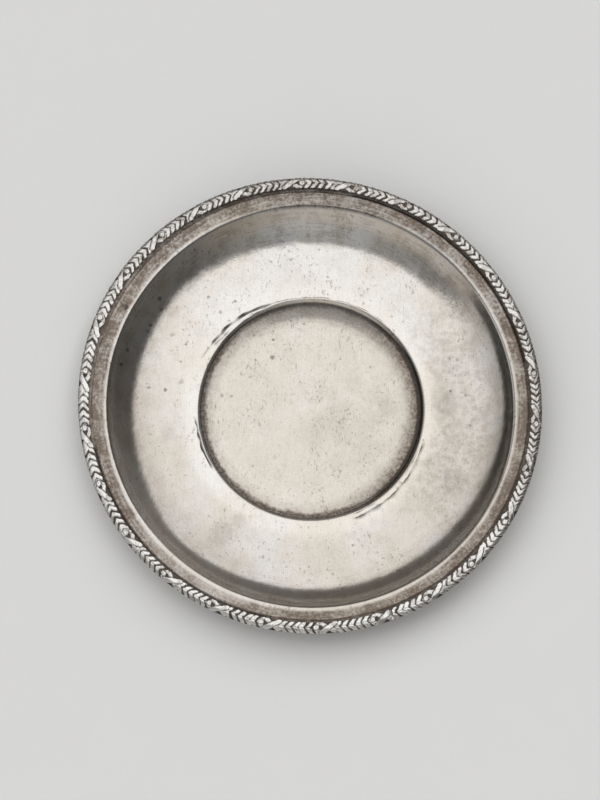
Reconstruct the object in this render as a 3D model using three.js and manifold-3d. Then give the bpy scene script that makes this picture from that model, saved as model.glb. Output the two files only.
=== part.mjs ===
// A shallow silver plate: a raised dish with a sunk well, a laurel border soldered round its edge
// and a foot ring soldered underneath. Sizes are in millimetres. The plate stands on the plane
// z = 0 with its middle on the z axis. Angles round the plate run clockwise from +y, seen from above.
import * as THREE from 'three';
import Module from 'manifold-3d';
import { mergeVertices } from 'three/addons/utils/BufferGeometryUtils.js';

// Dish, from the rim inwards
const plateRadius = 77.5;
const sheetThickness = 0.8;
const edgeChamfer = 0.2;
const flangeWidth = 5.7;
const flangeRise = 0.4;
const flangeLipRadius = 2.5;
const grooveWidth = 1.2;
const grooveSetback = 0.4;
const grooveDepth = 0.35;
const wallRise = 6;
const wallSlope = 43;
const wallRadius = 16;
const floorRise = 0.6;

// Sunk well and the foot ring round it
const wellRadius = 37.7;
const wellDepth = 2.2;
const wellSlope = 51;
const wellDishSlope = 11.5;
const wellDishWidth = 5.9;
const wellDishRadius = 30;
const wellCoveRadius = 1.2;
const wellLipRadius = 0.8;
const wellClearance = 1;
const footSetback = 1.2;
const footThickness = 1.5;
const footFlare = 0.7;
const footFlareHeight = 1.3;
const footHollowInset = 0.25;
const footHollowHeight = 0.65;
const footEdge = 0.25;

// Laurel border, measured along and across the wire
const borderWidth = 3.7;
const borderOverhang = 0.4;
const bedEdgeHeight = 1.15;
const bedCrownHeight = 1.5;
const motifLength = 18.3;
const ribbonWidth = 1.5;
const ribbonAngle = 35;
const ribbonTaper = 0.3;
const ribbonShoulder = 0.35;
const ribbonRelief = 0.4;
const leafStart = 6;
const leafPitch = 2.25;
const leafCrest = 1.5;
const leafSweep = 1.9;
const leafRelief = 0.35;
const edgeFade = 0.3;
const knotRelief = 0.3;
const knotSpan = 0.5;
const stubPlace = 0.67;
const firstRibbonAngle = 161.7;
const jointAngle = 159.3;
const jointGap = 0.9;

// How finely the round shapes are cut into flats
const roundSegments = 72;
const arcStep = 12;
const strips = 6;

const wasm = await Module();
wasm.setup();

const radians = THREE.MathUtils.degToRad;

// Levels above the table, and radii that several pieces share
const footHeight = wellDepth + wellClearance;
const floorHeight = footHeight + sheetThickness;
const wellHeight = floorHeight - wellDepth;
const lipHeight = floorHeight + floorRise + wallRise;
const seatHeight = lipHeight + flangeRise;
const seatRadius = plateRadius - borderWidth;
const sheetRadius = plateRadius - borderOverhang;
const flangeLip = seatRadius - flangeWidth;
const wallFoot = flangeLip - wallRise / Math.tan(radians(wallSlope));
const stepHeight = wellDepth - wellDishWidth * Math.tan(radians(wellDishSlope));
const stepFoot = wellRadius - stepHeight / Math.tan(radians(wellSlope));
const footInner = wellRadius + footSetback;
const footOuter = footInner + footThickness;
const jointCut = 3 * borderWidth;

// Angle of the line from corner a to corner b
function heading(a, b) {
  return Math.atan2(b.y - a.y, b.x - a.x);
}

// How far the profile turns at corner b, positive to the left
function turning(a, b, c) {
  const turn = heading(b, c) - heading(a, b);
  return Math.atan2(Math.sin(turn), Math.cos(turn));
}

// A corner of the profile, with the radius that it is rounded to
function corner(r, z, radius = 0) {
  return Object.assign(new THREE.Vector2(r, z), { radius });
}

// The profile through the corners, with each rounded one cut into short chords
function rounded(corners) {
  const last = corners.length - 1;
  const turns = corners.map((c, i) => (
    i > 0 && i < last ? turning(corners[i - 1], c, corners[i + 1]) : 0));
  const reach = corners.map((c, i) => c.radius * Math.abs(Math.tan(turns[i] / 2)));
  for (let i = 0; i < last; i += 1) {
    const room = corners[i].distanceTo(corners[i + 1]);
    if (reach[i] + reach[i + 1] > room) {
      const larger = reach[i] > reach[i + 1] ? i : i + 1;
      const smaller = larger === i ? i + 1 : i;
      reach[smaller] = Math.min(reach[smaller], room / 2);
      reach[larger] = room - reach[smaller];
    }
  }
  return corners.flatMap((c, i) => {
    if (reach[i] === 0) return [new THREE.Vector2(c.x, c.y)];
    const start = c.clone().lerp(corners[i - 1], reach[i] / c.distanceTo(corners[i - 1]));
    const end = c.clone().lerp(corners[i + 1], reach[i] / c.distanceTo(corners[i + 1]));
    const chords = Math.ceil(Math.abs(turns[i]) / radians(arcStep));
    const radius = reach[i] / Math.tan(turns[i] / 2);
    const first = heading(corners[i - 1], c);
    const centre = new THREE.Vector2(-Math.sin(first), Math.cos(first)).multiplyScalar(radius).add(start);
    return Array.from({ length: chords + 1 }, (_, k) => (
      k === chords ? new THREE.Vector2(end.x, end.y)
        : new THREE.Vector2(start.x, start.y).rotateAround(centre, turns[i] * k / chords)));
  });
}

// The corners of the sheet's other face, one thickness below
function below(corners, thickness) {
  return corners.slice(1, -1).map((c, i) => {
    const turn = turning(corners[i], c, corners[i + 2]);
    const middle = heading(corners[i], c) + turn / 2;
    const depth = thickness / Math.cos(turn / 2);
    const radius = c.radius ? Math.max(c.radius + Math.sign(turn) * thickness, 0) : 0;
    return corner(c.x + depth * Math.sin(middle), c.y - depth * Math.cos(middle), radius);
  });
}

// A closed or axis-to-axis profile in r and z, turned about the z axis
function turned(profile) {
  return new THREE.LatheGeometry(profile, roundSegments).rotateX(Math.PI / 2);
}

function silver(color, roughness) {
  return new THREE.MeshStandardMaterial({ color, roughness, metalness: 1 });
}

function piece(name, geometry, material) {
  const mesh = new THREE.Mesh(geometry, material);
  mesh.name = name;
  return mesh;
}

// Dish: well floor, dished towards its step, flat land over the foot ring, rising floor, wall,
// flange and border seat
function dish() {
  const bends = [
    corner(0, wellHeight),
    corner(stepFoot - wellDishWidth, wellHeight, wellDishRadius),
    corner(stepFoot, floorHeight - stepHeight, wellCoveRadius),
    corner(wellRadius, floorHeight, wellLipRadius),
    corner(footOuter + footSetback, floorHeight),
    corner(wallFoot, floorHeight + floorRise, wallRadius),
    corner(flangeLip, lipHeight, flangeLipRadius),
    corner(seatRadius, seatHeight),
    corner(sheetRadius, seatHeight),
  ];
  const groove = [
    corner(seatRadius - grooveWidth, seatHeight, grooveWidth),
    corner(seatRadius - grooveSetback, seatHeight - grooveDepth),
  ];
  const underside = below(bends, sheetThickness).reverse();
  const lowest = wellHeight - sheetThickness;
  const edge = [
    corner(sheetRadius, seatHeight - sheetThickness + edgeChamfer),
    corner(sheetRadius - edgeChamfer, seatHeight - sheetThickness),
  ];
  const profile = [
    ...rounded([...bends.slice(0, -2), ...groove, ...bends.slice(-2)]),
    ...rounded([...edge, ...underside, corner(0, lowest)]),
  ];
  return turned(profile.reverse());
}

// Foot ring: an upright strip that spreads outwards at its lower edge
function footRing() {
  const spread = footOuter + footFlare;
  return turned([
    new THREE.Vector2(footInner, footHeight),
    new THREE.Vector2(footInner, footEdge),
    new THREE.Vector2(footInner + footEdge, 0),
    new THREE.Vector2(spread - footEdge, 0),
    new THREE.Vector2(spread, footEdge),
    new THREE.Vector2(spread - footHollowInset, footHollowHeight),
    new THREE.Vector2(footOuter, footFlareHeight),
    new THREE.Vector2(footOuter, footHeight),
    new THREE.Vector2(footInner, footHeight),
  ]);
}

// Ground of the border: a half-round wire, with t running from -1 at its inner edge to 1 outside
function bed(t) {
  return bedEdgeHeight + (bedCrownHeight - bedEdgeHeight) * (1 - t * t);
}

function raised(relief) {
  return (t) => bed(t) + relief * (1 - edgeFade * t * t);
}

// Low mounds on the ground, each centred at one of the places across the wire
function mounds(...places) {
  return (t) => bed(t) + knotRelief * Math.max(0, ...places.map((p) => 1 - Math.abs(t - p) / knotSpan));
}

// The ribs of one motif, in order along the wire from its crossed ribbons. Each has its course
// along the wire and its height, as functions of t.
function motif() {
  const lean = borderWidth / 2 / Math.tan(radians(ribbonAngle));
  const halfRibbon = ribbonWidth / 2 / Math.sin(radians(ribbonAngle));
  const ribbon = (side, shoulder) => (t) => (
    lean * t + side * (halfRibbon * (1 - ribbonTaper * t * t) + shoulder));
  const chevron = (apex) => (t) => apex - leafSweep * Math.abs(t);
  const midway = (a, b) => (t) => (a(t) + b(t)) / 2;
  const ribbonStart = ribbon(-1, ribbonShoulder);
  const ribbonEnd = ribbon(1, ribbonShoulder);
  const nextRibbon = (t) => ribbonStart(t) + motifLength;
  const leafPairs = Math.floor((nextRibbon(-1) - chevron(leafStart)(-1)) / leafPitch);
  const lastGap = chevron(leafStart + leafPairs * leafPitch);
  const leaves = Array.from({ length: leafPairs }, (_, k) => [
    { course: chevron(leafStart + k * leafPitch), height: bed },
    { course: chevron(leafStart + k * leafPitch + leafCrest), height: raised(leafRelief) },
  ]).flat();
  return [
    { course: ribbonStart, height: bed },
    { course: ribbon(-1, -ribbonShoulder), height: raised(ribbonRelief) },
    { course: ribbon(1, -ribbonShoulder), height: raised(ribbonRelief) },
    { course: ribbonEnd, height: bed },
    { course: midway(ribbonEnd, leaves[0].course), height: mounds(0, -stubPlace) },
    ...leaves,
    { course: lastGap, height: bed },
    { course: midway(lastGap, nextRibbon), height: mounds(stubPlace) },
  ];
}

// Laurel border: motifs all the way round, with one narrow butt joint
function laurelBorder() {
  const middle = plateRadius - borderWidth / 2;
  const length = 2 * Math.PI * middle;
  const motifs = Math.round(length / motifLength);
  const stretch = length / (motifs * motifLength);
  const ribs = motif();
  const across = Array.from({ length: strips + 1 }, (_, i) => -1 + 2 * i / strips);
  const positions = [];
  const point = (along, t, height) => {
    const angle = radians(firstRibbonAngle) + along * stretch / middle;
    const r = middle + t * borderWidth / 2;
    positions.push(r * Math.sin(angle), r * Math.cos(angle), seatHeight + height);
  };
  for (let m = 0; m < motifs; m += 1) {
    for (const { course, height } of ribs) {
      point(m * motifLength + course(-1), -1, 0);
      across.forEach((t) => point(m * motifLength + course(t), t, height(t)));
      point(m * motifLength + course(1), 1, 0);
    }
  }
  const stations = motifs * ribs.length;
  const row = strips + 3;
  const index = [];
  for (let s = 0; s < stations; s += 1) {
    for (let i = 0; i < row; i += 1) {
      const a = s * row + i;
      const b = s * row + (i + 1) % row;
      const c = ((s + 1) % stations) * row + i;
      const d = ((s + 1) % stations) * row + (i + 1) % row;
      index.push(a, d, b, a, c, d);
    }
  }
  const ring = new THREE.BufferGeometry();
  ring.setAttribute('position', new THREE.Float32BufferAttribute(positions, 3));
  ring.setIndex(index);
  const cutter = new THREE.BoxGeometry(jointGap, jointCut, jointCut)
    .translate(0, middle, seatHeight)
    .rotateZ(-radians(jointAngle));
  return surface(solid(ring).subtract(solid(cutter)));
}

function solid(geometry) {
  const bare = geometry.clone();
  bare.deleteAttribute('normal');
  bare.deleteAttribute('uv');
  const merged = mergeVertices(bare);
  return new wasm.Manifold(new wasm.Mesh({
    numProp: 3,
    vertProperties: new Float32Array(merged.attributes.position.array),
    triVerts: new Uint32Array(merged.index.array),
  }));
}

function surface(manifold) {
  const mesh = manifold.getMesh();
  const geometry = new THREE.BufferGeometry();
  geometry.setAttribute('position', new THREE.Float32BufferAttribute(mesh.vertProperties, 3));
  geometry.setIndex(Array.from(mesh.triVerts));
  geometry.computeVertexNormals();
  return geometry;
}

const plate = new THREE.Group();
plate.add(piece('dish', dish(), silver(0xcfcbc2, 0.28)));
plate.add(piece('laurel_border', laurelBorder(), silver(0xb9b5ab, 0.35)));
plate.add(piece('foot_ring', footRing(), silver(0x9f9a90, 0.4)));

export default plate;
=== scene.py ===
"""A shallow silver plate with a sunk well, a laurel border and a foot ring, on a plain paper sweep.

The plate stands on z = 0 with its middle on the z axis. Angles round it run clockwise from +y,
seen from above, in degrees. Shapes are worked out in millimetres and stored in metres.
"""

import math
from types import SimpleNamespace

import bmesh
import bpy
import numpy as np
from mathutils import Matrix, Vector


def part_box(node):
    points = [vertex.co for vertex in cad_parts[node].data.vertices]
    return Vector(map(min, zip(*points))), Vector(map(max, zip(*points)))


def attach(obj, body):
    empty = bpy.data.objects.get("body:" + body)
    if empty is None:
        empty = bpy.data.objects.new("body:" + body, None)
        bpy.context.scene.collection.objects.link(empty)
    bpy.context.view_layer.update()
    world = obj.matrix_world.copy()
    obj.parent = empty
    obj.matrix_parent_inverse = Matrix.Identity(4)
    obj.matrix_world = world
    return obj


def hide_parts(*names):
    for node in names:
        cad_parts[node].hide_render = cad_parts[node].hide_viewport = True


bl_info = {
    "name": "Laurel-Bordered Silver Plate",
    "version": (1, 0, 0),
    "blender": (4, 5, 0),
    "location": "3D View > Sidebar > Silver Plate",
    "description": "Builds a shallow silver plate from its dish, laurel border and foot ring",
    "category": "Add Mesh",
}

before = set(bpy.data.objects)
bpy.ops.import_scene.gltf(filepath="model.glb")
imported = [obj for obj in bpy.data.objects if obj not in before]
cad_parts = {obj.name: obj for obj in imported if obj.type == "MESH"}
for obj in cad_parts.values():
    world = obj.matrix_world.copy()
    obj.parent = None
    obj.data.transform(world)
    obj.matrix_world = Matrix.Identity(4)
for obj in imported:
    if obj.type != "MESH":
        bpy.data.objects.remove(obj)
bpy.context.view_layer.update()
MM = 0.001


# Sizes and finishes that a user would change

def length(description, millimetres):
    return bpy.props.FloatProperty(
        description=description, default=millimetres * MM, min=0, unit="LENGTH", precision=5)


def angle(description, degrees):
    return bpy.props.FloatProperty(
        description=description, default=math.radians(degrees), subtype="ANGLE")


def amount(description, value):
    return bpy.props.FloatProperty(description=description, default=value, min=0)


def count(description, value):
    return bpy.props.IntProperty(description=description, default=value, min=1)


def colour(description, rgb):
    return bpy.props.FloatVectorProperty(
        description=description, default=rgb, size=3, min=0, max=1, subtype="COLOR")


def named(group):
    """Names each setting of a group in the sidebar as its key spells it."""
    for key, setting in group.__annotations__.items():
        setting.keywords["name"] = key.replace("_", " ").capitalize()
    return group


def rim_radius():
    """Outer radius of the border's solid, in millimetres."""
    low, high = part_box("laurel_border")
    return round((high.x - low.x) / 2 / MM, 1)


def seat_height():
    """Height of the flat seat that the border's solid lies on, in millimetres."""
    return round(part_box("laurel_border")[0].z / MM, 2)


@named
class DishSettings(bpy.types.PropertyGroup):
    plate_radius: length("Radius of the whole plate, over the border", rim_radius())
    sheet: length("Thickness of the silver sheet", 0.8)
    seat: length("Height of the flat seat under the border", seat_height())
    seat_width: length("Width of the flat seat under the border", 3.7)
    overhang: length("Reach of the border past the sheet's edge", 0.4)
    flange_width: length("Width of the plain flange inside the border", 5.75)
    flange_rise: length("Rise of the flange towards the border", 0.4)
    groove_width: length("Width of the groove beside the border", 1.2)
    groove_setback: length("Border to the groove's lowest line", 0.4)
    groove_depth: length("Depth of the groove beside the border", 0.25)
    edge_chamfer: length("Chamfer under the sheet's outer edge", 0.2)
    lip_radius: length("Rounding where the wall turns into the flange", 2.5)
    wall_rise: length("Height of the wall above the floor's edge", 6)
    wall_slope: angle("Steepest slope of the wall", 43)
    wall_radius: length("Rounding where the floor turns into the wall", 16)
    floor_rise: length("Rise of the floor from the land to the wall", 0.6)
    land_width: length("Width of the flat land round the well", 3.9)
    well_radius: length("Radius of the sunk well at its top", 37.8)
    well_depth: length("Depth of the well under the floor", 2.2)
    well_slope: angle("Slope of the step down into the well", 45)
    well_dish_slope: angle("Slope of the well's floor at the foot of the step", 11.5)
    well_dish_width: length("Width of the sloping edge of the well's floor", 5.9)
    well_dish_radius: length("Rounding where the well's floor starts to slope", 30)
    well_cove: length("Rounding at the foot of the step", 1.2)
    well_lip: length("Rounding at the top of the step", 0.8)
    well_drift: length("Shift of the well's floor inside its step", 0.15)
    out_of_round: length("Departure of the hand-made rim from a circle", 0.74)
    rim_drift: length("Shift of the rim off the well's middle", 0.45)
    hammering: length("Height of the hammer's faint waves", 0.022)
    segments: count("Faces round the dish", 336)


@named
class BorderSettings(bpy.types.PropertyGroup):
    width: length("Width of the border wire", 3.7)
    edge_height: length("Height of the wire at its outer edge", 0.8)
    crown_height: length("Height of the wire's ground along its inner half", 1.5)
    motif_length: length("Length of one ribbon with its laurel leaves", 18.3)
    leaf_pairs: count("Pairs of leaves after each ribbon", 6)
    leaf_tip: length("Ribbons' crossing to the first pair's tip", 5.35)
    leaf_pitch: length("Distance between pairs of leaves", 2.25)
    leaf_length: length("Length of a leaf along the wire", 1.85)
    leaf_sweep: length("Lean of a leaf back at the wire's edge", 1.65)
    leaf_relief: length("Height of the leaves above the ground", 0.35)
    ribbon_relief: length("Height of the upper ribbon above the ground", 0.4)
    ribbon_width: length("Width of the ribbons", 1.85)
    ribbon_length: length("Length of the ribbons", 7)
    ribbon_lean: angle("Angle between the ribbons and the wire", 31)
    bud_place: length("Ribbons' crossing to the bud", 3.95)
    bud_width: length("Width of the bud", 1.9)
    joint: length("Gap between the two ends of the wire", 0.9)
    columns: count("Faces along each motif", 110)
    rows: count("Faces across the border's top", 26)
    seed: count("Start of the motifs' small differences", 7)


@named
class FootSettings(bpy.types.PropertyGroup):
    setback: length("Top of the well to the ring's bore", 1.2)
    thickness: length("Thickness of the upright strip", 1.5)
    flare: length("Spread of the lower edge", 0.7)
    flare_height: length("Height at which the strip starts to spread", 1.3)
    edge: length("Rounding of the standing edges", 0.25)
    solder: length("Size of the solder fillet under the dish", 0.45)
    segments: count("Faces round the ring", 288)


@named
class FinishSettings(bpy.types.PropertyGroup):
    silver: colour("Polished silver", (0.58, 0.57, 0.55))
    warm_silver: colour("Silver with a first thin tarnish", (0.535, 0.5, 0.445))
    film: colour("Brown-grey film on the flange and round the well", (0.125, 0.1, 0.08))
    oxide: colour("Black-brown oxide in recesses", (0.028, 0.024, 0.021))
    roughness: amount("Roughness of the worn polish", 0.2)
    scratches: amount("Depth of the fine scratches", 0.12)


@named
class StageSettings(bpy.types.PropertyGroup):
    paper: colour("Paper sweep that the plate lies on", (0.805, 0.805, 0.8))
    glow: amount("Light that the camera sees added to the paper", 0.04)
    elevation: angle("Camera's height above the horizon", 79)
    distance: amount("Camera's distance from the plate in metres", 2)
    lens: amount("Focal length in millimetres", 268.8)
    softbox: amount("Brightness of the large softbox", 1.6)


class PlateSettings(bpy.types.PropertyGroup):
    dish: bpy.props.PointerProperty(type=DishSettings)
    border: bpy.props.PointerProperty(type=BorderSettings)
    foot: bpy.props.PointerProperty(type=FootSettings)
    finish: bpy.props.PointerProperty(type=FinishSettings)
    stage: bpy.props.PointerProperty(type=StageSettings)


# Profiles: lists of corners, each a complex number r + z i with the radius it is rounded to

def turning(a, b, c):
    """How far a profile turns at b, positive to the left."""
    return np.angle((c - b) / (b - a))


def rounded(corners, arc_step=math.radians(5)):
    """Points of the profile through the corners, with each rounded one cut into short chords."""
    points = [point for point, radius in corners]
    last = len(points) - 1
    turns = [0, *(turning(*points[i - 1:i + 2]) for i in range(1, last)), 0]
    reach = [radius * abs(math.tan(turn / 2)) for (point, radius), turn in zip(corners, turns)]
    for i in range(last):
        room = abs(points[i + 1] - points[i])
        if reach[i] + reach[i + 1] > room:
            larger, smaller = (i, i + 1) if reach[i] > reach[i + 1] else (i + 1, i)
            reach[smaller] = min(reach[smaller], room / 2)
            reach[larger] = room - reach[smaller]
    line = []
    for i, point in enumerate(points):
        if reach[i] == 0:
            line.append(point)
            continue
        forward = (point - points[i - 1]) / abs(point - points[i - 1])
        start = point - reach[i] * forward
        centre = start + 1j * forward * reach[i] / math.tan(turns[i] / 2)
        chords = math.ceil(abs(turns[i]) / arc_step)
        for k in range(chords + 1):
            line.append(centre + (start - centre) * np.exp(1j * turns[i] * k / chords))
    return line


def below(corners, thickness):
    """Corners of the sheet's other face, one thickness below the inner corners."""
    made = []
    for (a, _), (b, radius), (c, _) in zip(corners, corners[1:], corners[2:]):
        turn = turning(a, b, c)
        middle = np.angle(b - a) + turn / 2
        depth = thickness / math.cos(turn / 2)
        other = max(radius + math.copysign(thickness, turn), 0) if radius else 0
        made.append((b - 1j * depth * np.exp(1j * middle), other))
    return made


def refined(line, spacing):
    """The line with each chord cut into equal parts, no longer than spacing gives at its middle."""
    points = [line[0]]
    for start, end in zip(line, line[1:]):
        parts = max(1, math.ceil(abs(end - start) / spacing((start + end) / 2)))
        points += [start + (end - start) * k / parts for k in range(1, parts + 1)]
    return np.array(points)


def smooth(value, low, high):
    """0 below low and 1 above high, with a soft step between."""
    share = np.clip((value - low) / (high - low), 0, 1)
    return share * share * (3 - 2 * share)


def ripples(x, y, wavelength, seed, waves=24):
    """Soft unevenness with waves of about one length in all directions, mostly between -1 and 1."""
    draw = np.random.default_rng(seed)
    total = np.zeros(np.broadcast(x, y).shape)
    for _ in range(waves):
        way, phase = draw.uniform(0, 2 * math.pi, 2)
        pace = 2 * math.pi / (wavelength * draw.uniform(0.7, 1.4))
        total += np.cos(pace * (x * math.cos(way) + y * math.sin(way)) + phase)
    return total / math.sqrt(waves / 2) / 1.5


# Meshes

def grid_faces(columns, rows, round_columns, round_rows):
    """Quads between the points of a grid, row by row along each column."""
    index = np.arange(columns * rows).reshape(columns, rows)
    if round_columns:
        index = np.vstack([index, index[:1]])
    if round_rows:
        index = np.hstack([index, index[:, :1]])
    corners = [index[:-1, :-1], index[1:, :-1], index[1:, 1:], index[:-1, 1:]]
    return np.stack(corners, -1).reshape(-1, 4).tolist()


def add_piece(name, points, faces, attributes, sharp_angle):
    """A closed mesh object with its coinciding points merged and its faces turned outwards."""
    mesh = bpy.data.meshes.new(name)
    mesh.from_pydata((points * MM).tolist(), [], faces)
    for label, values in attributes.items():
        layer = mesh.attributes.new(label, "FLOAT", "POINT")
        layer.data.foreach_set("value", values.astype(np.float32).ravel())
    shape = bmesh.new()
    shape.from_mesh(mesh)
    bmesh.ops.remove_doubles(shape, verts=shape.verts, dist=0.0005 * MM)
    bmesh.ops.recalc_face_normals(shape, faces=shape.faces)
    shape.to_mesh(mesh)
    shape.free()
    mesh.shade_smooth()
    mesh.set_sharp_from_angle(angle=math.radians(sharp_angle))
    piece = bpy.data.objects.new(name, mesh)
    bpy.context.scene.collection.objects.link(piece)
    return piece


def turned(profile, angles, shape):
    """Points of a profile turned round the z axis, each moved by shape(r, z, angle)."""
    r, z, a = shape(profile.real[:, None], profile.imag[:, None], angles[None, :])
    points = np.stack(np.broadcast_arrays(r * np.sin(a), r * np.cos(a), z), -1)
    return points.reshape(-1, 3)


def whole_turn(segments):
    return np.arange(segments) * 2 * math.pi / segments


def millimetres(group):
    """The group's settings as plain numbers, with its lengths in millimetres."""
    values = {}
    for key, setting in group.bl_rna.properties.items():
        if key in ("rna_type", "name"):
            continue
        value = getattr(group, key)
        values[key] = value / MM if setting.unit == "LENGTH" else value
    return SimpleNamespace(**values)


# How oval the plate is at its well and the power with which that grows outwards. Then the direction
# in which the rim's middle lies off the well's, and the distances from the rim where it shifts.
OVAL_AT_WELL = 0.11
OVAL_GROWTH = 2.6
DRIFT_WAY = math.radians(318)
DRIFT_START, DRIFT_END = 9.4, 5


def wander(r, a, dish):
    """How far a point at radius r moves outwards, because the hand-raised plate isn't quite round."""
    well, rim = dish.well_radius, dish.plate_radius
    share = np.clip((r - well) / (rim - well), 0, 1) ** OVAL_GROWTH
    oval = (OVAL_AT_WELL - dish.out_of_round * share) * np.sin(2 * a)
    outer = smooth(r, rim - DRIFT_START, rim - DRIFT_END)
    return oval + dish.rim_drift * outer * np.cos(a - DRIFT_WAY)


# Creases pressed into the land over the foot ring when it was soldered on: first and last angle in
# degrees, radius at the start, halfway and at the end, depth, half-width, and painted shade from 0 to
# 1
CREASES = (
    (302, 341, 40.1, 39.8, 38.2, 0.2, 0.42, 1.0),
    (302, 316, 39.4, 38.9, 38.3, 0.12, 0.22, 0.85),
    (294, 304, 41.2, 40.7, 40.3, 0.14, 0.26, 0.8),
    (338, 405, 38.45, 38.25, 38.35, 0.05, 0.12, 0.5),
    (237, 267, 38.5, 38.5, 38.9, 0.16, 0.28, 1.0),
    (104, 161, 39.3, 40.1, 40.1, 0.12, 0.42, 0.45),
    (109, 127, 38.7, 38.6, 38.5, 0.08, 0.16, 0.5),
    (144, 160, 38.5, 38.45, 38.4, 0.06, 0.14, 0.5),
)
# Degrees over which a crease fades at its ends, and before its start that count as negative
CREASE_FADE, CREASE_LEAD = 5, 20
# How far a crease strays sideways, the shares by which its depth and width vary, and the place, width
# and height of the bank raised on its inner side, as shares of its half-width and depth
CREASE_STRAY, DEPTH_STRAY, WIDTH_STRAY = 0.16, 0.35, 0.4
BANK_PLACE, BANK_WIDTH, BANK_HEIGHT = 2.4, 1.5, 0.5
# Radius at which ripples that vary only round the plate are read
RIPPLE_RADIUS = 40


def creases(r, a):
    """Depth of the creases at a point, and how dark the painted shade in them is, from 0 to 1."""
    depth = np.zeros(np.broadcast(r, a).shape)
    mark = np.zeros_like(depth)
    turn = np.degrees(a) % 360
    x, y = RIPPLE_RADIUS * np.sin(a), RIPPLE_RADIUS * np.cos(a)
    uneven, wider = ripples(x, y, 6, seed=6), ripples(x, y, 3, seed=3)
    for first, last, start, middle, end, deep, half, dark in CREASES:
        from_start = (turn - first + CREASE_LEAD) % 360 - CREASE_LEAD
        share = from_start / (last - first)
        fade = smooth(from_start, 0, CREASE_FADE) * smooth(last - first - from_start, 0, CREASE_FADE)
        fade = fade * (1 + DEPTH_STRAY * uneven)
        path = start + (end - start) * share + 4 * (middle - (start + end) / 2) * share * (1 - share)
        across = (r - path - CREASE_STRAY * uneven) / (half * (1 + WIDTH_STRAY * wider))
        valley = np.exp(-across ** 2)
        bank = np.exp(-((across + BANK_PLACE) / BANK_WIDTH) ** 2)
        depth += deep * fade * (valley - BANK_HEIGHT * bank)
        mark = np.maximum(mark, dark * np.clip(fade, 0, 1) * valley)
    return depth, mark


def radii(d):
    """Radii of the seat under the border, of the sheet's edge, and of the lip of the flange."""
    seat = d.plate_radius - d.seat_width
    return seat, d.plate_radius - d.overhang, seat - d.flange_width


# Longest steps between rings: on the creased land, on the rest of the upper face and underneath
LAND_STEP, TOP_STEP, UNDER_STEP = 0.13, 1.0, 1.6
LAND_START, LAND_END = 36, 41.4
# The hammer's waves: their lengths, and the radii and distances from the border where they fade
LONG_WAVE, SHORT_WAVE = 17, 8
WAVES_INSIDE, WAVES_OUTSIDE, WAVES_FROM_SEAT = (30, 35), (41, 46), (2, 8)
# How far from its edge and from its middle the drift of the well's floor is whole
DRIFT_FROM_EDGE, DRIFT_FROM_MIDDLE = 1.4, 20


def top_step(point):
    """Longest step between rings on the upper face: short where the land is creased."""
    return LAND_STEP if LAND_START < point.real < LAND_END else TOP_STEP


def build_dish(dish):
    """The dish: well, step, land, rising floor, wall, flange and border seat, in one sheet."""
    d = millimetres(dish)
    seat_radius, sheet_radius, lip = radii(d)
    lip_height = d.seat - d.flange_rise
    floor = lip_height - d.wall_rise - d.floor_rise
    well = floor - d.well_depth
    wall_foot = lip - d.wall_rise / math.tan(d.wall_slope)
    step_height = d.well_depth - d.well_dish_width * math.tan(d.well_dish_slope)
    step_foot = d.well_radius - step_height / math.tan(d.well_slope)
    bends = [
        (complex(0, well), 0),
        (complex(step_foot - d.well_dish_width, well), d.well_dish_radius),
        (complex(step_foot, floor - step_height), d.well_cove),
        (complex(d.well_radius, floor), d.well_lip),
        (complex(d.well_radius + d.land_width, floor), 0),
        (complex(wall_foot, floor + d.floor_rise), d.wall_radius),
        (complex(lip, lip_height), d.lip_radius),
        (complex(seat_radius, d.seat), 0),
        (complex(sheet_radius, d.seat), 0),
    ]
    groove = [
        (complex(seat_radius - d.groove_width, d.seat), d.groove_width),
        (complex(seat_radius - d.groove_setback, d.seat - d.groove_depth), 0),
    ]
    edge = [
        (complex(sheet_radius, d.seat - d.sheet + d.edge_chamfer), 0),
        (complex(sheet_radius - d.edge_chamfer, d.seat - d.sheet), 0),
    ]
    underside = below(bends, d.sheet)[::-1]
    top = refined(rounded(bends[:-2] + groove + bends[-2:]), top_step)
    under_line = rounded(edge + underside + [(complex(0, well - d.sheet), 0)])
    under = refined(under_line, lambda point: UNDER_STEP)
    profile = np.concatenate([top, under])
    upper = np.concatenate([np.ones(len(top)), np.zeros(len(under))])[:, None]

    def shape(r, z, a):
        x, y = r * np.sin(a), r * np.cos(a)
        outside = smooth(r, *WAVES_OUTSIDE) * smooth(seat_radius - r, *WAVES_FROM_SEAT)
        loose = outside + 1 - smooth(r, *WAVES_INSIDE)
        waves = ripples(x, y, LONG_WAVE, seed=1) + 0.5 * ripples(x, y, SHORT_WAVE, seed=2)
        depth, _ = creases(r, a)
        drift = d.well_drift * smooth(d.well_radius - r, 0, DRIFT_FROM_EDGE)
        drift = drift * smooth(r, 0, DRIFT_FROM_MIDDLE) * np.sin(a)
        height = z + d.hammering * loose * waves - upper * depth
        return r + wander(r, a, d) - drift, height, a

    angles = whole_turn(d.segments)
    points = turned(profile, angles, shape)
    # The painted shade in the creases, on the upper face only, goes to the material as the crease
    # attribute
    _, mark = creases(profile.real[:, None], angles[None, :])
    attributes = {
        "profile_radius": np.broadcast_to(profile.real[:, None], mark.shape),
        "crease": mark * upper,
    }
    faces = grid_faces(len(profile), len(angles), False, True)
    return add_piece("silver_dish", points, faces, attributes, sharp_angle=50)


# Size in degrees and phase of each wave in the spacing of the motifs, and the angle of the first
# ribbon before that. Then how far before this ribbon the wire's joint lies, and how far before each
# ribbon its motif starts, in millimetres.
MOTIF_STRAYS = ((1.66, -36.3), (0.88, -121.9), (0.99, 35.7))
FIRST_RIBBON = math.radians(162.25)
JOINT_PLACE = 2.4
MOTIF_START = 3.1


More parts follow.
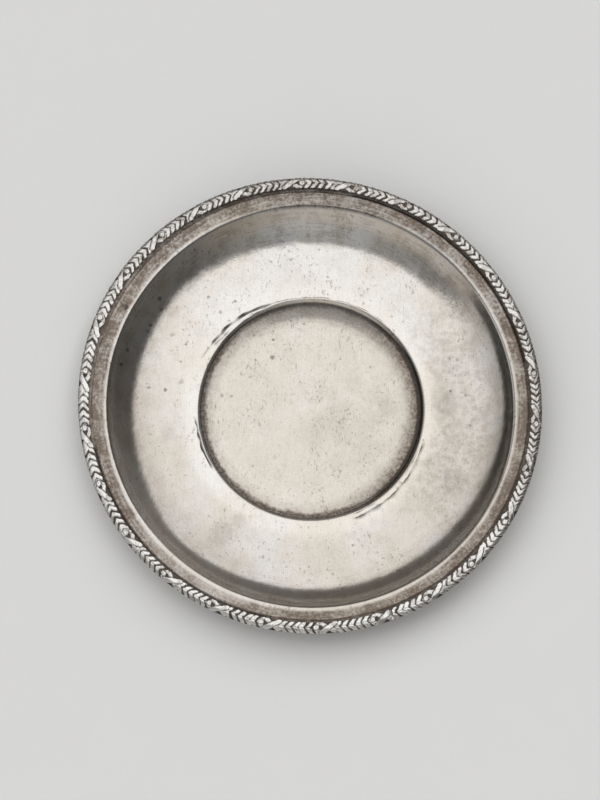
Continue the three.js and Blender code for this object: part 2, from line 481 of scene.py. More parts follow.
def motif_angles(border, middle):
    """Angles of the crossed ribbons, a little unevenly spaced round the border."""
    motifs = round(2 * math.pi * middle / border.motif_length)
    even = np.arange(motifs + 1) * 2 * math.pi / motifs
    strays = sum(math.radians(size) * np.sin(k * even + math.radians(phase))
                 for k, (size, phase) in enumerate(MOTIF_STRAYS, 1))
    return FIRST_RIBBON + even + strays


# The outlines' waves: length, size along and across the wire, and distance that keeps motifs unlike
WAVE_LENGTH, WAVE_ALONG, WAVE_ACROSS, WAVE_APART = 1.6, 0.11, 0.07, 90
# The lower ribbon's width and relief as shares of the upper one's, and how much shorter it is
LOWER_WIDTH, LOWER_RELIEF, LOWER_SHORTER = 0.8, 0.7, 0.3
# Narrowing of ribbons and leaves to their ends, gap or overlap between shapes, pitch of the strands,
# widths of a vein and a bud's dimple, and where the relief rises and is rubbed bright, from its edge
TAPER, GAP, STRAND_PITCH, VEIN_WIDTH, DIMPLE_WIDTH = 0.25, 0.1, 0.5, 0.2, 0.35
BEVEL, RUBBED = (-0.1, 0.16), (-0.08, 0.08)


def laurel(s, t, b, motif, draw):
    """Relief of the border above its ground in millimetres, and how bright it is rubbed.

    s runs along the wire from the crossing of the ribbons and t across it, from -1 to 1.
    motif is the number of the motif at each s, and draw gives each motif its small differences.
    Every shape is a distance in millimetres: positive inside it, negative outside.
    """
    def stray(size):
        return (size * draw.uniform(-1, 1, motif.max() + 1))[motif]

    def along_and_across(lean):
        return s * np.cos(lean) + y * np.sin(lean), y * np.cos(lean) - s * np.sin(lean)

    half = b.width / 2
    y = t * half
    uneven = ripples(s + WAVE_APART * motif, y, WAVE_LENGTH, b.seed, waves=12)
    s = s + WAVE_ALONG * uneven
    y = y + WAVE_ACROSS * np.roll(uneven, b.columns // 2, 0)
    side = np.minimum(np.abs(y) / half, 1)
    lean = b.ribbon_lean + stray(0.05)
    wide = b.ribbon_width / 2
    long = b.ribbon_length / 2
    along, across = along_and_across(lean)
    tapered = wide * (1 - TAPER * (along / long) ** 2)
    over = np.minimum(tapered - np.abs(across), long - np.abs(along))
    under_along, under_across = along_and_across(-lean)
    under_end = long - LOWER_SHORTER - np.abs(under_along)
    under = np.minimum(LOWER_WIDTH * wide - np.abs(under_across), under_end)
    under = np.minimum(under, np.abs(across) - wide - GAP)

    radius = b.bud_width / 2
    far = np.hypot((s - b.bud_place - stray(0.15)) / radius, (y - stray(0.12)) / radius)
    bud = np.minimum(radius * (1 - far), -GAP - over)

    leaves = np.full(over.shape, -half)
    slant = half / math.hypot(half, b.leaf_sweep)
    for k in range(b.leaf_pairs):
        sweep = (b.leaf_sweep + stray(0.3)) * side ** 1.15
        front = b.leaf_tip + b.leaf_pitch * k + stray(0.15) - sweep
        size = (b.leaf_length + stray(0.15)) * (1 - TAPER * side ** 4)
        for back in (0, b.motif_length):
            ends = np.minimum(front - back - s, s - front + back + size) * slant
            leaves = np.maximum(leaves, np.minimum(ends, 1.05 * half - np.abs(y)))
    leaves = np.minimum(leaves, -GAP - np.maximum(over, bud))
    leaves = np.minimum(leaves, GAP - under)

    strands = 0.75 + 0.25 * np.cos(2 * math.pi * under_across / STRAND_PITCH)
    vein = 1 - 0.5 * np.exp(-(y / VEIN_WIDTH) ** 2)
    dimple = 1 - 0.55 * np.exp(-(far / DIMPLE_WIDTH) ** 2)
    relief = np.zeros_like(leaves)
    polish = np.zeros_like(leaves)
    for shape, height, detail in (
            (leaves, b.leaf_relief * (1 + stray(0.1)), vein),
            (over, b.ribbon_relief, 1),
            (under, LOWER_RELIEF * b.ribbon_relief, strands),
            (bud, b.leaf_relief, dimple)):
        relief = np.maximum(relief, height * smooth(shape, *BEVEL) * (0.7 + 0.3 * detail))
        polish = np.maximum(polish, smooth(shape, *RUBBED) * detail)
    return relief, polish


# The wire's lower corners, as the edge that each lies under, its share of the edge's height and
# its setback in millimetres
WIRE_FOOT = ((1, 0.5, 0), (1, 0, 0.08), (-1, 0, 0.08), (-1, 0.5, 0))
# The power with which the wire's ground falls to its outer edge, how much of that it falls to the
# inner one, and how much narrower it is than the ornament
GROUND_POWER, INNER_FALL, GROUND_TAPER = 2.2, 0.2, 0.06


def build_border(border, dish):
    """The laurel border: one strip of wire bent round the rim, with a narrow butt joint."""
    b = millimetres(border)
    d = millimetres(dish)
    half = b.width / 2
    middle = d.plate_radius - half
    ribbons = motif_angles(b, middle)
    motifs = len(ribbons) - 1
    columns = motifs * b.columns
    joint = ribbons[0] - JOINT_PLACE / middle
    gap = b.joint / 2 / middle
    turn = np.linspace(joint + gap, joint + 2 * math.pi - gap, columns)
    motif = np.searchsorted(ribbons - MOTIF_START / middle, turn, side="right") - 1
    motif = np.clip(motif, 0, motifs - 1)
    pitch = ribbons[motif + 1] - ribbons[motif]
    s = ((turn - ribbons[motif]) / pitch * b.motif_length)[:, None]
    t = np.linspace(-1, 1, b.rows + 1)[None, :]
    relief, polish = laurel(s, t, b, motif[:, None], np.random.default_rng(b.seed))
    fall = (b.crown_height - b.edge_height) * np.maximum(t, -INNER_FALL * t) ** GROUND_POWER
    height = b.crown_height - fall + relief
    r = middle + t * half * (1 - GROUND_TAPER * (1 - polish) * t * t)
    rows = [(r, height, polish)]
    for edge, share, setback in WIRE_FOOT:
        at = slice(-1, None) if edge > 0 else slice(0, 1)
        rows.append((r[:, at] - edge * setback, share * height[:, at], share * polish[:, at]))
    r, height, polish = (np.hstack(parts) for parts in zip(*rows))
    a = turn[:, None]
    r = r + wander(r, a, d)
    points = np.stack([r * np.sin(a), r * np.cos(a), d.seat + height], -1)
    ring = points.shape[1]
    faces = grid_faces(columns, ring, False, True)
    faces.append(list(range(ring)))
    faces.append(list(range((columns - 1) * ring, columns * ring)))
    points = points.reshape(-1, 3)
    return add_piece("laurel_border_wire", points, faces, {"polish": polish}, sharp_angle=75)


# The foot ring's rounding beside the solder, rounding and lean of the flare's shoulder, and width of
# the solder on the bore's side as a share of the other
SOLDER_ROUNDING, SHOULDER_ROUNDING, SHOULDER_LEAN, INNER_SOLDER = 0.3, 0.5, 0.15, 0.3
# Size and length of the strip's slow waves and of the solder's lumps
STRIP_SIZE, STRIP_WAVE = 0.05, 23
LUMP_SIZE, LUMP_WAVE = 0.12, 4


def build_foot_ring(foot, dish):
    """The foot ring: an upright strip that spreads at its lower edge, with its solder above."""
    f = millimetres(foot)
    d = millimetres(dish)
    top = d.seat - d.flange_rise - d.wall_rise - d.floor_rise - d.sheet
    inner = d.well_radius + f.setback
    outer = inner + f.thickness
    spread = outer + f.flare
    corners = [
        (complex(inner, top), 0),
        (complex(inner - INNER_SOLDER * f.solder, top), 0),
        (complex(inner, top - f.solder), SOLDER_ROUNDING),
        (complex(inner, 0), f.edge),
        (complex(spread, 0), f.edge),
        (complex(spread - SHOULDER_LEAN, 0.5 * f.flare_height), SHOULDER_ROUNDING),
        (complex(outer, f.flare_height), 0.8),
        (complex(outer, top - f.solder), SOLDER_ROUNDING),
        (complex(outer + f.solder, top), 0),
        (complex(inner, top), 0),
    ]
    profile = refined(rounded(corners, arc_step=math.radians(15)), lambda point: 0.35)

    def shape(r, z, a):
        lower = smooth(top - z, 0.3, 1.5)
        x, y = RIPPLE_RADIUS * np.sin(a), RIPPLE_RADIUS * np.cos(a)
        waves = STRIP_SIZE * lower * ripples(x, y, STRIP_WAVE, seed=5)
        solder = LUMP_SIZE * smooth(z, top - 0.5, top - 0.1) * smooth(r, outer + 0.05, outer + 0.2)
        lumps = solder * ripples(r * np.sin(a), r * np.cos(a), LUMP_WAVE, seed=6)
        return r + waves + lumps + wander(r, a, d), z, a

    angles = whole_turn(f.segments)
    points = turned(profile[:-1], angles, shape)
    heights = np.broadcast_to(profile[:-1].imag[:, None], (len(profile) - 1, len(angles)))
    faces = grid_faces(len(profile) - 1, len(angles), True, True)
    return add_piece("silver_foot_ring", points, faces, {"height": heights}, sharp_angle=40)


# Materials

class Wire:
    """An output of a node. Sums and products of wires add the Math nodes that work them out."""

    def __init__(self, nodes, socket):
        self.nodes = nodes
        self.socket = socket

    def __add__(self, other):
        return self.nodes.math("ADD", self, other)

    def __radd__(self, other):
        return self.nodes.math("ADD", other, self)

    def __sub__(self, other):
        return self.nodes.math("SUBTRACT", self, other)

    def __rsub__(self, other):
        return self.nodes.math("SUBTRACT", other, self)

    def __mul__(self, other):
        return self.nodes.math("MULTIPLY", self, other)

    def __rmul__(self, other):
        return self.nodes.math("MULTIPLY", other, self)

    def __truediv__(self, other):
        return self.nodes.math("DIVIDE", self, other)

    def __rtruediv__(self, other):
        return self.nodes.math("DIVIDE", other, self)

    def __pow__(self, other):
        return self.nodes.math("POWER", self, other)

    def __neg__(self):
        return self.nodes.math("MULTIPLY", self, -1)

    def __abs__(self):
        return self.nodes.math("ABSOLUTE", self)


class Nodes:
    """The node tree of a material or a world."""

    def __init__(self, owner):
        owner.use_nodes = True
        self.tree = owner.node_tree
        self.tree.nodes.clear()

    def add(self, kind, settings=None, inputs=None, output=0):
        """A new node: its settings first, then the values or wires of its sockets."""
        node = self.tree.nodes.new(kind)
        for name, value in (settings or {}).items():
            if name == "stops":
                self.set_stops(node.color_ramp, value)
            else:
                setattr(node, name, value)
        for key, value in (inputs or {}).items():
            socket = node.inputs[key] if isinstance(key, int) else self.named(node.inputs, key)
            if isinstance(value, Wire):
                self.tree.links.new(value.socket, socket)
            else:
                socket.default_value = value
        if output is None:
            return None
        socket = node.outputs[output] if isinstance(output, int) else self.named(node.outputs, output)
        return Wire(self, socket)

    @staticmethod
    def named(sockets, key):
        return next(s for s in sockets if s.enabled and key in (s.name, s.identifier))

    @staticmethod
    def set_stops(ramp, stops):
        while len(ramp.elements) < len(stops):
            ramp.elements.new(1)
        for element, (place, level) in zip(ramp.elements, stops):
            element.position = place
            element.color = (level, level, level, 1)

    def math(self, operation, *terms):
        return self.add("ShaderNodeMath", {"operation": operation}, dict(enumerate(terms)))

    def scaled(self, vector, factor):
        settings = {"operation": "SCALE"}
        return self.add("ShaderNodeVectorMath", settings, {"Vector": vector, "Scale": factor})

    def step(self, value, low, high):
        """0 below low and 1 above high, with a soft step between. Low may be the higher one."""
        return self.add("ShaderNodeMapRange", {"interpolation_type": "SMOOTHSTEP"}, {
            "Value": value, "From Min": low, "From Max": high})

    def mix(self, factor, a, b):
        """Colour a where the factor is 0 and b where it is 1."""
        paint = [c if isinstance(c, Wire) else (*c, 1) for c in (a, b)]
        return self.add("ShaderNodeMix", {"data_type": "RGBA"}, {
            "Factor": factor, "A": paint[0], "B": paint[1]}, "Result")

    def noise(self, place, size, detail=2.0, roughness=0.5):
        """Soft noise around 0.5, with its largest patches about as wide as size."""
        return self.add("ShaderNodeTexNoise", None, {
            "Vector": place, "Scale": 1 / size, "Detail": detail, "Roughness": roughness})

    def stretched(self, place, factors, turn=0.0):
        """The place turned about the z axis and scaled along each axis."""
        return self.add("ShaderNodeMapping", None, {
            "Vector": place, "Rotation": (0, 0, math.radians(turn)), "Scale": factors})

    def specks(self, place, spacing, size, share):
        """Round dark specks: 1 in them, on the given share of cells as wide as spacing."""
        settings = {"feature": "F1"}
        inputs = {"Vector": place, "Scale": 1 / spacing}
        distance = self.add("ShaderNodeTexVoronoi", settings, inputs, "Distance")
        pick = self.add("ShaderNodeTexVoronoi", settings, inputs, "Color")
        red = self.add("ShaderNodeSeparateColor", None, {"Color": pick}, "Red")
        green = self.add("ShaderNodeSeparateColor", None, {"Color": pick}, "Green")
        reach = size / spacing * (0.35 + 0.65 * green)
        return self.step(distance / reach, 1.0, 0.45) * self.step(red, share, share - 0.02)


def split(nodes, vector):
    return [nodes.add("ShaderNodeSeparateXYZ", None, {"Vector": vector}, axis) for axis in "XYZ"]


def piece_place(nodes):
    """Place on the piece in millimetres."""
    return nodes.scaled(nodes.add("ShaderNodeTexCoord", None, None, "Object"), 1 / MM)


def attribute(nodes, name):
    return nodes.add("ShaderNodeAttribute", {"attribute_name": name}, None, "Fac")


def toward(nodes, turn, degrees, half, soft):
    """1 within half a width of an angle round the plate, falling to 0 over soft, in degrees."""
    near = nodes.math("COSINE", turn - math.radians(degrees))
    return nodes.step(near, math.cos(math.radians(half + soft)), math.cos(math.radians(half)))


# Stains on the floor, the wall, the well and the flange: place from the plate's middle and size, in
# millimetres, and darkness
STAINS = (
    (-34.4, 38.5, 1, 0.5), (-25.5, 37.2, 0.9, 0.6), (-30.4, 33.4, 1.1, 0.4), (-41.9, 22.3, 0.7, 0.6),
    (-43.7, 16.4, 0.8, 0.55), (-54.4, 7.5, 1, 0.5), (-48.8, 6.7, 1.1, 0.6), (-43.4, 9.5, 1.6, 0.3),
    (-46.5, 25.6, 1.4, 0.3), (-50.7, 37.4, 1.3, 0.6), (-50.3, 34, 0.8, 0.5), (-53.8, 28.5, 0.9, 0.6),
    (-54.7, 26.4, 0.7, 0.5), (-61.5, 19.7, 0.9, 0.6), (-63.5, 14.6, 1, 0.6), (-62.2, 33.9, 1.9, 0.65),
    (-19.2, 25.7, 1, 0.45), (-12.7, 24.4, 0.9, 0.6), (-12.9, 18.3, 1.4, 0.55), (-18.6, 17.4, 0.7, 0.5),
    (-2.3, 29.7, 0.9, 0.4), (-6.8, 30.7, 0.7, 0.45), (-27.7, 18.4, 0.8, 0.4), (5.6, 45.5, 0.8, 0.45),
    (-29.9, 5.3, 1.1, 0.4), (-26.7, 5, 0.9, 0.35), (46.8, 6.3, 0.7, 0.7), (51.9, 4.8, 1, 0.4),
    (53.3, -5.5, 0.8, 0.45), (44.1, -0.6, 1.8, 0.35), (54.9, 0.6, 1.7, 0.25), (37.5, -10.3, 0.5, 0.5),
    (-0.8, 59.6, 1.3, 0.35), (14, -46, 0.8, 0.4), (-16, -50, 1, 0.35), (20, 15, 0.8, 0.35),
    (-29.3, -42.1, 8, 0.2), (-24, -38, 5, 0.16), (48, -25.4, 8, 0.16), (44.5, 2, 8, 0.2),
    (26, 1.5, 6, 0.12), (0, -8, 8, 0.08), (55, 20, 6, 0.12), (-48, -8, 5, 0.1),
)


def stains(nodes, place):
    """Darkness of the stains at a place, each with a ragged edge."""
    ragged = nodes.noise(place, 1.1, 3.0, 0.7)
    x, y, _ = split(nodes, place)
    total = None
    for at_x, at_y, size, dark in STAINS:
        dx = x - at_x
        dy = y - at_y
        far = (dx * dx + dy * dy) ** 0.5 + 1.4 * size * (ragged - 0.5)
        mark = nodes.step(far, 0.75 * size, 0.3 * size) * dark
        total = mark if total is None else nodes.math("MAXIMUM", total, mark)
    return total


def scratches(nodes, place):
    """Fine straight scratches in several directions: how many cross at a place."""
    total = None
    for turn, size in ((8, 0.16), (55, 0.2), (97, 0.14), (141, 0.22), (172, 0.3)):
        lines = nodes.noise(nodes.stretched(place, (1, 0.04, 1), turn), size, 1.0)
        fine = nodes.step(lines, 0.6, 0.7)
        total = fine if total is None else total + fine
    return total


def flecks(nodes, place):
    """Small dark flecks with ragged shapes, in loose clusters."""
    shape = nodes.noise(nodes.stretched(place, (1, 0.7, 1), 30), 0.9, 3.0, 0.6)
    cluster = nodes.noise(place, 8, 2.0)
    return nodes.step(shape + 0.35 * (cluster - 0.5), 0.62, 0.69)


def scuffs(nodes, place):
    """Short dark scuffs in several directions."""
    total = None
    for turn in (42, 78, 125):
        lines = nodes.noise(nodes.stretched(place, (1, 0.2, 1), turn), 0.6, 2.0)
        rare = nodes.noise(place, 4 + turn / 100, 2.0)
        mark = nodes.step(lines, 0.64, 0.72) * nodes.step(rare, 0.52, 0.6)
        total = mark if total is None else nodes.math("MAXIMUM", total, mark)
    return total


def metal(nodes, base, rough, height, strength):
    """A metal shader with its colour, roughness and fine relief."""
    bump = nodes.add("ShaderNodeBump", None, {
        "Strength": strength, "Distance": 0.00006, "Height": height})
    return nodes.add("ShaderNodeBsdfPrincipled", None, {
        "Base Color": base, "Metallic": 1.0, "Roughness": rough, "Normal": bump})


def dish_finish(nodes, plate):
    """Worn silver: warm patches, film on the flange and round the well, pits, stains, scratches,
    painted shade.
    """
    finish = plate.finish
    d = millimetres(plate.dish)
    step, mix, noise = nodes.step, nodes.mix, nodes.noise
    place = piece_place(nodes)
    x, y, _ = split(nodes, place)
    turn = nodes.math("ARCTAN2", x, y)
    ring = attribute(nodes, "profile_radius")
    seat, _, lip = radii(d)
    well = d.well_radius

    def side(degrees, half, soft):
        return toward(nodes, turn, degrees, half, soft)

    # Sides of the plate: rest is all but its north and east
    north, east, southwest = (side(way, 30, 45) for way in (5, 95, 205))
    west = side(285, 20, 35)
    top = side(3, 8, 16)
    rubbed_place = side(213, 9, 12)
    rest = 1 - nodes.math("MAXIMUM", north, east)

    # Unevenness from the widest to the finest
    clouds = noise(place, 24, 3.0, 0.55)
    blotches = noise(place, 7, 5.0, 0.62)
    soot = noise(place, 6, 3.0, 0.6)
    mottle = noise(place, 2.2, 4.0, 0.65)
    around = nodes.add("ShaderNodeCombineXYZ", None, {"X": turn * 6.0, "Y": ring * 1.6, "Z": 0.0})
    streaks = noise(around, 1.0, 3.0, 0.6)
    fine = step(noise(place, 1.0, 4.0, 0.75), 0.3, 0.7)
    grain = noise(nodes.stretched(place, (0.6, 1, 1)), 0.5, 3.0, 0.8)
    marks = scratches(nodes, place)

    # Warm and cloudy tarnish on the floor and in the well, and film darker on some sides of the plate
    floor = step(ring, well + 1.5, well + 4.5)
    inside = step(ring, well - 1, well - 3)
    warm = clouds + 0.3 * (blotches - 0.5) + 0.1 * side(150, 80, 60) + 0.16 * inside
    base = mix(step(warm, 0.34, 0.72), finish.silver, finish.warm_silver)
    # The film is also darker on the floor towards the east and the south, and on the outer floor
    # towards the west-southwest
    dull = floor * side(90, 20, 35) * step(ring, 66, 54)
    cloudy = 0.3 * step(blotches, 0.42, 0.72) + 0.25 * step(mottle, 0.45, 0.75)
    cloudy = cloudy + 0.3 * step(ring, well + 4, well + 15) + 0.1
    cloudy *= 0.3 + 0.7 * step(abs(ring - well - 1.8), 1.6, 4.5)
    cloudy += dull * (0.35 + 0.9 * step(mottle + 0.5 * (blotches - 0.5), 0.35, 0.65))
    cloudy += inside * (0.3 + 0.4 * east * step(blotches, 0.35, 0.6))
    cloudy += 0.6 * step(ring, well + 3, well + 8) * side(180, 80, 50)
    edge = step(ring, lip - 17, lip - 9) * step(ring, lip - 5, lip - 8)
    cloudy += 1.1 * edge * side(255, 40, 30)
    base = mix(0.2 * cloudy, base, finish.film)
    base = mix(1.5 * abs(grain - 0.5), base, finish.film)
    base = mix(0.06 * marks, base, finish.oxide)
    base = mix(0.45 * flecks(nodes, place), base, finish.film)
    base = mix(0.6 * inside * scuffs(nodes, place), base, finish.film)

    # Film on the flange, a thin dark line along the lip, and oxide with painted shade in the groove
    # Film drawn in over the lip at the north is painted shade where the lip shows no highlight;
    # towards the southwest the film starts further out
    reach = ring + 0.9 * (soot - 0.5) + 1.2 * top - 0.4 * southwest
    film = step(reach, lip + 0.4, lip + 1.7) * step(ring, seat + 0.3, seat)
    film *= 0.62 + 0.25 * step(streaks, 0.35, 0.62) + 0.35 * step(blotches, 0.4, 0.62)
    film *= 1 - 0.2 * step(mottle, 0.45, 0.75)
    film *= 0.9 + 0.15 * step(ring, lip + 2, seat - 1.5)
    film = film * (1 - 0.35 * rubbed_place - 0.1 * north) * (0.65 + 0.7 * fine)
    base = mix(film, base, finish.film)
    # A thin dark line in the oxide's colour along the lip, set further out at the north
    lip_line = step(abs(ring - lip - 0.1 - 0.5 * top), 0.28, 0.05) * (0.3 + 0.4 * soot)
    base = mix(lip_line, base, finish.oxide)
    # Oxide in the groove beside the border, with painted shade where the border shades it, wider and
    # darker on some sides
    groove = step(ring - 0.4 * rest, seat - 1.6, seat - 0.8) * step(ring, seat + 3, seat + 2)
    groove *= 0.38 + 0.3 * soot + 0.12 * east - 0.32 * west
    base = mix(groove, base, finish.oxide)

    # Brown band, and dirt with painted shade in the corner at the foot of the well's step
    foot = well - 1.15
    reach = ring + 2.5 * (soot - 0.5) + 2 * (mottle - 0.5)
    brown = step(reach, foot - 7, foot - 0.2) * (0.35 + 0.05 * north + 0.6 * east)
    band = step(reach, foot - 3, foot - 0.9) * (0.4 + 0.3 * rest + 0.3 * streaks)
    brown = nodes.math("MAXIMUM", brown, band) * step(ring, foot + 0.8, foot) * (0.6 + 0.8 * fine)
    base = mix(brown, base, finish.film)
    # Dirt and painted shade in the concave corner at the step's foot
    dirt_and_corner_shade = step(ring + 0.8 * (soot - 0.5), foot - 1.7, foot - 0.3)
    dirt_and_corner_shade *= step(ring, foot + 0.6, foot + 0.1)
    dirt_and_corner_shade *= 0.25 + 0.4 * soot + 0.4 * streaks - 0.4 * rest
    base = mix(dirt_and_corner_shade, base, finish.oxide)

    # Smears on the wall, a darker step face on the east side, and painted shade in the creases
    wall = step(ring, lip - 15, lip - 9) * step(ring, lip - 0.6, lip - 2)
    smears = step(0.6 * blotches + 0.4 * streaks, 0.46, 0.6) * (0.5 + fine)
    base = mix(0.32 * wall * smears * (0.35 + 0.65 * north), base, finish.film)
    # The step's face is darker on the east side
    step_face = step(abs(ring - foot - 0.3), 1.6, 0.9)
    base = mix(0.7 * step_face * east, base, finish.oxide)
    # Painted shade in the creases, in the oxide's colour
    base = mix(attribute(nodes, "crease"), base, finish.oxide)

    # Pits and stains, and a thin film on the underside
    pits = nodes.specks(place, 2.2, 0.2, 0.45) + nodes.specks(place, 6.0, 0.34, 0.4)
    base = mix(0.4 * pits, base, finish.oxide)
    base = mix(stains(nodes, place), base, finish.oxide)
    facing = nodes.add("ShaderNodeTexCoord", None, None, "Normal")
    downward = step(split(nodes, facing)[2], 0.3, -0.3)
    base = mix(0.3 * downward, base, finish.film)

    rough = finish.roughness + 0.1 * (mottle - 0.5) + 0.12 * film + 0.2 * groove
    rough = rough + 0.05 * inside + 0.3 * rest * step(abs(ring - foot), 2.0, 0.6)
    height = 0.5 * finish.scratches * marks + 5.0 * noise(place, 3.5, 4.0)
    height = height + 0.12 * grain - 0.6 * pits
    return metal(nodes, base, rough, height, 0.25)


def border_finish(nodes, plate):
    """Bright worn relief with black-brown oxide left in the recesses."""
    finish = plate.finish
    place = piece_place(nodes)
    polish = attribute(nodes, "polish")
    mottle = nodes.noise(place, 0.9, 3.0, 0.6)
    patches = nodes.noise(place, 6, 2.0)
    worn = 0.95 * nodes.step(polish + 0.5 * (mottle - 0.5) + 0.4 * (patches - 0.5), 0.1, 0.75)
    recess = nodes.mix(0.5 + 0.6 * (patches - 0.5), finish.oxide, finish.film)
    base = nodes.mix(worn, recess, finish.silver)
    x, y, _ = split(nodes, place)
    dull = 0.22 * nodes.step(y, 20, 70) + 0.25 * nodes.step(x - abs(y), 10, 60)
    dull += 0.35 * nodes.step(nodes.noise(place, 2.4, 2.0), 0.5, 0.62)
    base = nodes.mix(nodes.step(mottle, 0.45, 0.75) * 0.4 + dull - 0.04, base, finish.film)
    rough = 0.5 - 0.24 * worn + 0.08 * (mottle - 0.5)
    return metal(nodes, base, rough, nodes.noise(place, 0.5, 3.0), 0.3)


def foot_finish(nodes, plate):
    """Tarnished ring, rubbed bright where it stands on the table."""
    finish = plate.finish
    place = piece_place(nodes)
    height = attribute(nodes, "height")
    mottle = nodes.noise(place, 2.5, 4.0, 0.6)
    patches = nodes.noise(place, 9, 2.0)
    tarnish = nodes.step(height + 1.2 * (mottle - 0.5), 0.15, 1.0)
    base = nodes.mix(tarnish * (0.4 + 0.5 * patches), finish.silver, finish.film)
    solder = nodes.step(height + 0.5 * (mottle - 0.5), 2.6, 3.1)
    base = nodes.mix(solder * 0.6, base, finish.oxide)
    rough = 0.3 + 0.12 * tarnish + 0.1 * (mottle - 0.5)
    lines = nodes.noise(nodes.stretched(place, (0.3, 0.3, 8)), 1.0, 2.0)
    return metal(nodes, base, rough, lines + nodes.noise(place, 0.6, 3.0), 0.3)


def give_finish(owner, build, settings):
    """Gives a piece the material whose shader build makes from the settings."""
    material = bpy.data.materials.new(owner.name + "_finish")
    nodes = Nodes(material)
    nodes.add("ShaderNodeOutputMaterial", None, {"Surface": build(nodes, settings)}, None)
    owner.data.materials.append(material)


def silver_piece(piece, node, build, plate):
    """Puts a silver piece in the place of the node of the same part: gives it its finish, attaches it
    to the root and hides that node.
    """
    give_finish(piece, build, plate)
    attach(piece, "root")
    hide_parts(node)


# Stage

def paper_finish(nodes, stage):
    """Matt paper with hardly any texture, a little brighter to the camera than its light makes it."""
    fibres = nodes.noise(nodes.add("ShaderNodeTexCoord", None, None, "Object"), 0.02, 2.0)
    base = nodes.mix(fibres, tuple(0.985 * c for c in stage.paper), stage.paper)
    rays = [nodes.add("ShaderNodeLightPath", None, None, kind)
            for kind in ("Is Camera Ray", "Is Glossy Ray", "Is Transmission Ray")]
    seen = rays[0] + rays[1] + rays[2]
    glow = nodes.mix(seen, (0.0, 0.0, 0.0), tuple(stage.glow * c for c in stage.paper))
    return nodes.add("ShaderNodeBsdfPrincipled", None, {
        "Base Color": base, "Roughness": 0.9, "Emission Color": glow, "Emission Strength": 1.0})


# The paper sweep's profile, in metres: radius where it starts to rise, width and height of the rise
SWEEP_FLAT, SWEEP_BEND, SWEEP_RISE = 3.0, 0.5, 0.22


def build_sweep(stage):
    """A wide round sheet of paper, curved up at its far edge so that low views see no horizon."""
    shares = np.linspace(0, 1, 9)
    flat = SWEEP_FLAT * shares[:-1] + 0j
    bend = SWEEP_FLAT + SWEEP_BEND * shares + 1j * SWEEP_RISE * shares ** 2
    profile = np.concatenate([flat, bend]) / MM
    angles = whole_turn(96)
    points = turned(profile, angles, lambda r, z, a: (r, z, a))
    faces = grid_faces(len(profile), len(angles), False, True)
    sweep = add_piece("paper_sweep", points, faces, {}, sharp_angle=60)
    give_finish(sweep, paper_finish, stage)


# Brightness of the room round the softbox, as shares of the softbox's: direction as a share of a
# turn from south by way of west, and the level there overhead and near the horizon
ROOM = (
    (0.0, 0.5, 0.5), (0.11, 0.3, 0.52), (0.165, 0.24, 0.46), (0.185, 0.1, 0.04), (0.25, 0.06, 0.015),
    (0.33, 0.1, 0.03), (0.375, 0.12, 0.12), (0.5, 0.13, 0.15), (0.625, 0.13, 0.21),
    (0.75, 0.09, 0.065), (0.875, 0.12, 0.13), (1.0, 0.5, 0.5),
)


def light_studio(stage):
    """One large softbox overhead to the north and west, in a dim room, as the world's light."""
    world = bpy.data.worlds.new("studio")
    nodes = Nodes(world)
    x, y, z = split(nodes, nodes.add("ShaderNodeTexCoord", None, None, "Generated"))
    # Places on a flat ceiling, as shares of its height, where the softbox's edges are drawn
    height = nodes.math("MAXIMUM", z, 0.02)
    east = x / height
    north = y / height
    south_edge = nodes.math("MINIMUM", 0.49 * (east + 0.12), 0.0)
    south_edge = south_edge - 0.55 * nodes.math("MAXIMUM", east, 0.0)
    east_edge = 0.5 * nodes.math("MAXIMUM", north, 0.0)
    box = nodes.step(north - south_edge, -0.05, 0.03) * nodes.step(east - east_edge, 0.54, 0.34)
    box = box * nodes.step(north - 0.2 * east, 1.5, 1.2) * nodes.step(east, -3.2, -2.2)
    falloff = nodes.step(east, 0.25, -1.6)
    softbox = nodes.mix(falloff, (1.12, 1.12, 1.12), (0.53, 0.53, 0.53))
    around = nodes.math("FRACT", nodes.math("ARCTAN2", -x, -y) / (2 * math.pi))
    overhead, low = (nodes.add("ShaderNodeValToRGB", {"stops": stops}, {"Fac": around}) for stops in (
        [(place, level) for place, level, _ in ROOM], [(place, level) for place, _, level in ROOM]))
    room = nodes.mix(nodes.step(z, 0.75, 0.25), overhead, low)
    tint = nodes.mix(nodes.step(z, 0.85, 0.4), (0.985, 1.0, 1.015), (1.05, 1.0, 0.93))
    room = nodes.add("ShaderNodeMix", {"data_type": "RGBA", "blend_type": "MULTIPLY"}, {
        "Factor": 1.0, "A": room, "B": tint}, "Result")
    shader = nodes.add("ShaderNodeBackground", None, {
        "Color": nodes.mix(box, room, softbox), "Strength": stage.softbox})
    nodes.add("ShaderNodeOutputWorld", None, {"Surface": shader}, None)
    bpy.context.scene.world = world


# Where the camera aims, in metres to the right of and above the plate's middle in the picture
AIM_RIGHT, AIM_UP = -0.00365, 0.00295


def place_camera(stage, height):
    """The camera looks down at the plate from the south."""
    camera = bpy.data.objects.new("camera", bpy.data.cameras.new("camera"))
    bpy.context.scene.collection.objects.link(camera)
    camera.data.lens = stage.lens
    camera.data.sensor_width = 36
    back = Vector((0, -math.cos(stage.elevation), math.sin(stage.elevation)))
    up = Vector((0, math.sin(stage.elevation), math.cos(stage.elevation)))
    camera.location = Vector((AIM_RIGHT, 0, height)) + AIM_UP * up + back * stage.distance
    camera.rotation_mode = "QUATERNION"
    camera.rotation_quaternion = (-back).to_track_quat("-Z", "Y")
    bpy.context.scene.camera = camera


# Operators

class PLATE_OT_dish(bpy.types.Operator):
    """Build the silver dish in place of its plain solid"""
    bl_idname = "plate.dish"
    bl_label = "Dish"

    def execute(self, context):
        plate = context.scene.silver_plate
        silver_piece(build_dish(plate.dish), "dish", dish_finish, plate)
        return {"FINISHED"}


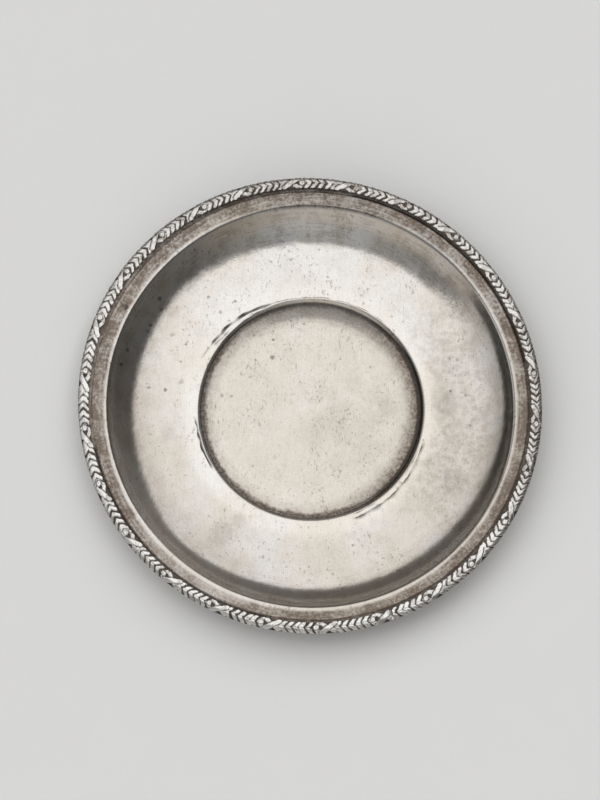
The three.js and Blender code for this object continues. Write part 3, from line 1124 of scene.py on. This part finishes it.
class PLATE_OT_laurel_border(bpy.types.Operator):
    """Build the laurel border in place of its plain solid"""
    bl_idname = "plate.laurel_border"
    bl_label = "Laurel Border"

    def execute(self, context):
        plate = context.scene.silver_plate
        piece = build_border(plate.border, plate.dish)
        silver_piece(piece, "laurel_border", border_finish, plate)
        return {"FINISHED"}


class PLATE_OT_foot_ring(bpy.types.Operator):
    """Build the foot ring in place of its plain solid"""
    bl_idname = "plate.foot_ring"
    bl_label = "Foot Ring"

    def execute(self, context):
        plate = context.scene.silver_plate
        piece = build_foot_ring(plate.foot, plate.dish)
        silver_piece(piece, "foot_ring", foot_finish, plate)
        return {"FINISHED"}


class PLATE_OT_stage(bpy.types.Operator):
    """Lay out the paper sweep, the studio light and the camera"""
    bl_idname = "plate.stage"
    bl_label = "Stage"

    def execute(self, context):
        settings = context.scene.silver_plate
        build_sweep(settings.stage)
        light_studio(settings.stage)
        place_camera(settings.stage, settings.dish.seat / 2)
        context.scene.view_settings.view_transform = "Standard"
        return {"FINISHED"}


class PLATE_PT_sidebar(bpy.types.Panel):
    """Lists the plate's pieces and its stage"""
    bl_label = "Silver Plate"
    bl_space_type = "VIEW_3D"
    bl_region_type = "UI"
    bl_category = "Silver Plate"

    def draw(self, context):
        for operator in OPERATORS:
            self.layout.operator(operator.bl_idname)


GROUPS = (DishSettings, BorderSettings, FootSettings, FinishSettings, StageSettings, PlateSettings)
OPERATORS = (PLATE_OT_dish, PLATE_OT_laurel_border, PLATE_OT_foot_ring, PLATE_OT_stage)
CLASSES = (*GROUPS, *OPERATORS, PLATE_PT_sidebar)


def register():
    for cls in CLASSES:
        bpy.utils.register_class(cls)
    bpy.types.Scene.silver_plate = bpy.props.PointerProperty(type=PlateSettings)


def unregister():
    del bpy.types.Scene.silver_plate
    for cls in reversed(CLASSES):
        bpy.utils.unregister_class(cls)


def main():
    register()
    bpy.ops.plate.dish()
    bpy.ops.plate.laurel_border()
    bpy.ops.plate.foot_ring()
    bpy.ops.plate.stage()


if __name__ == "__main__":
    main()
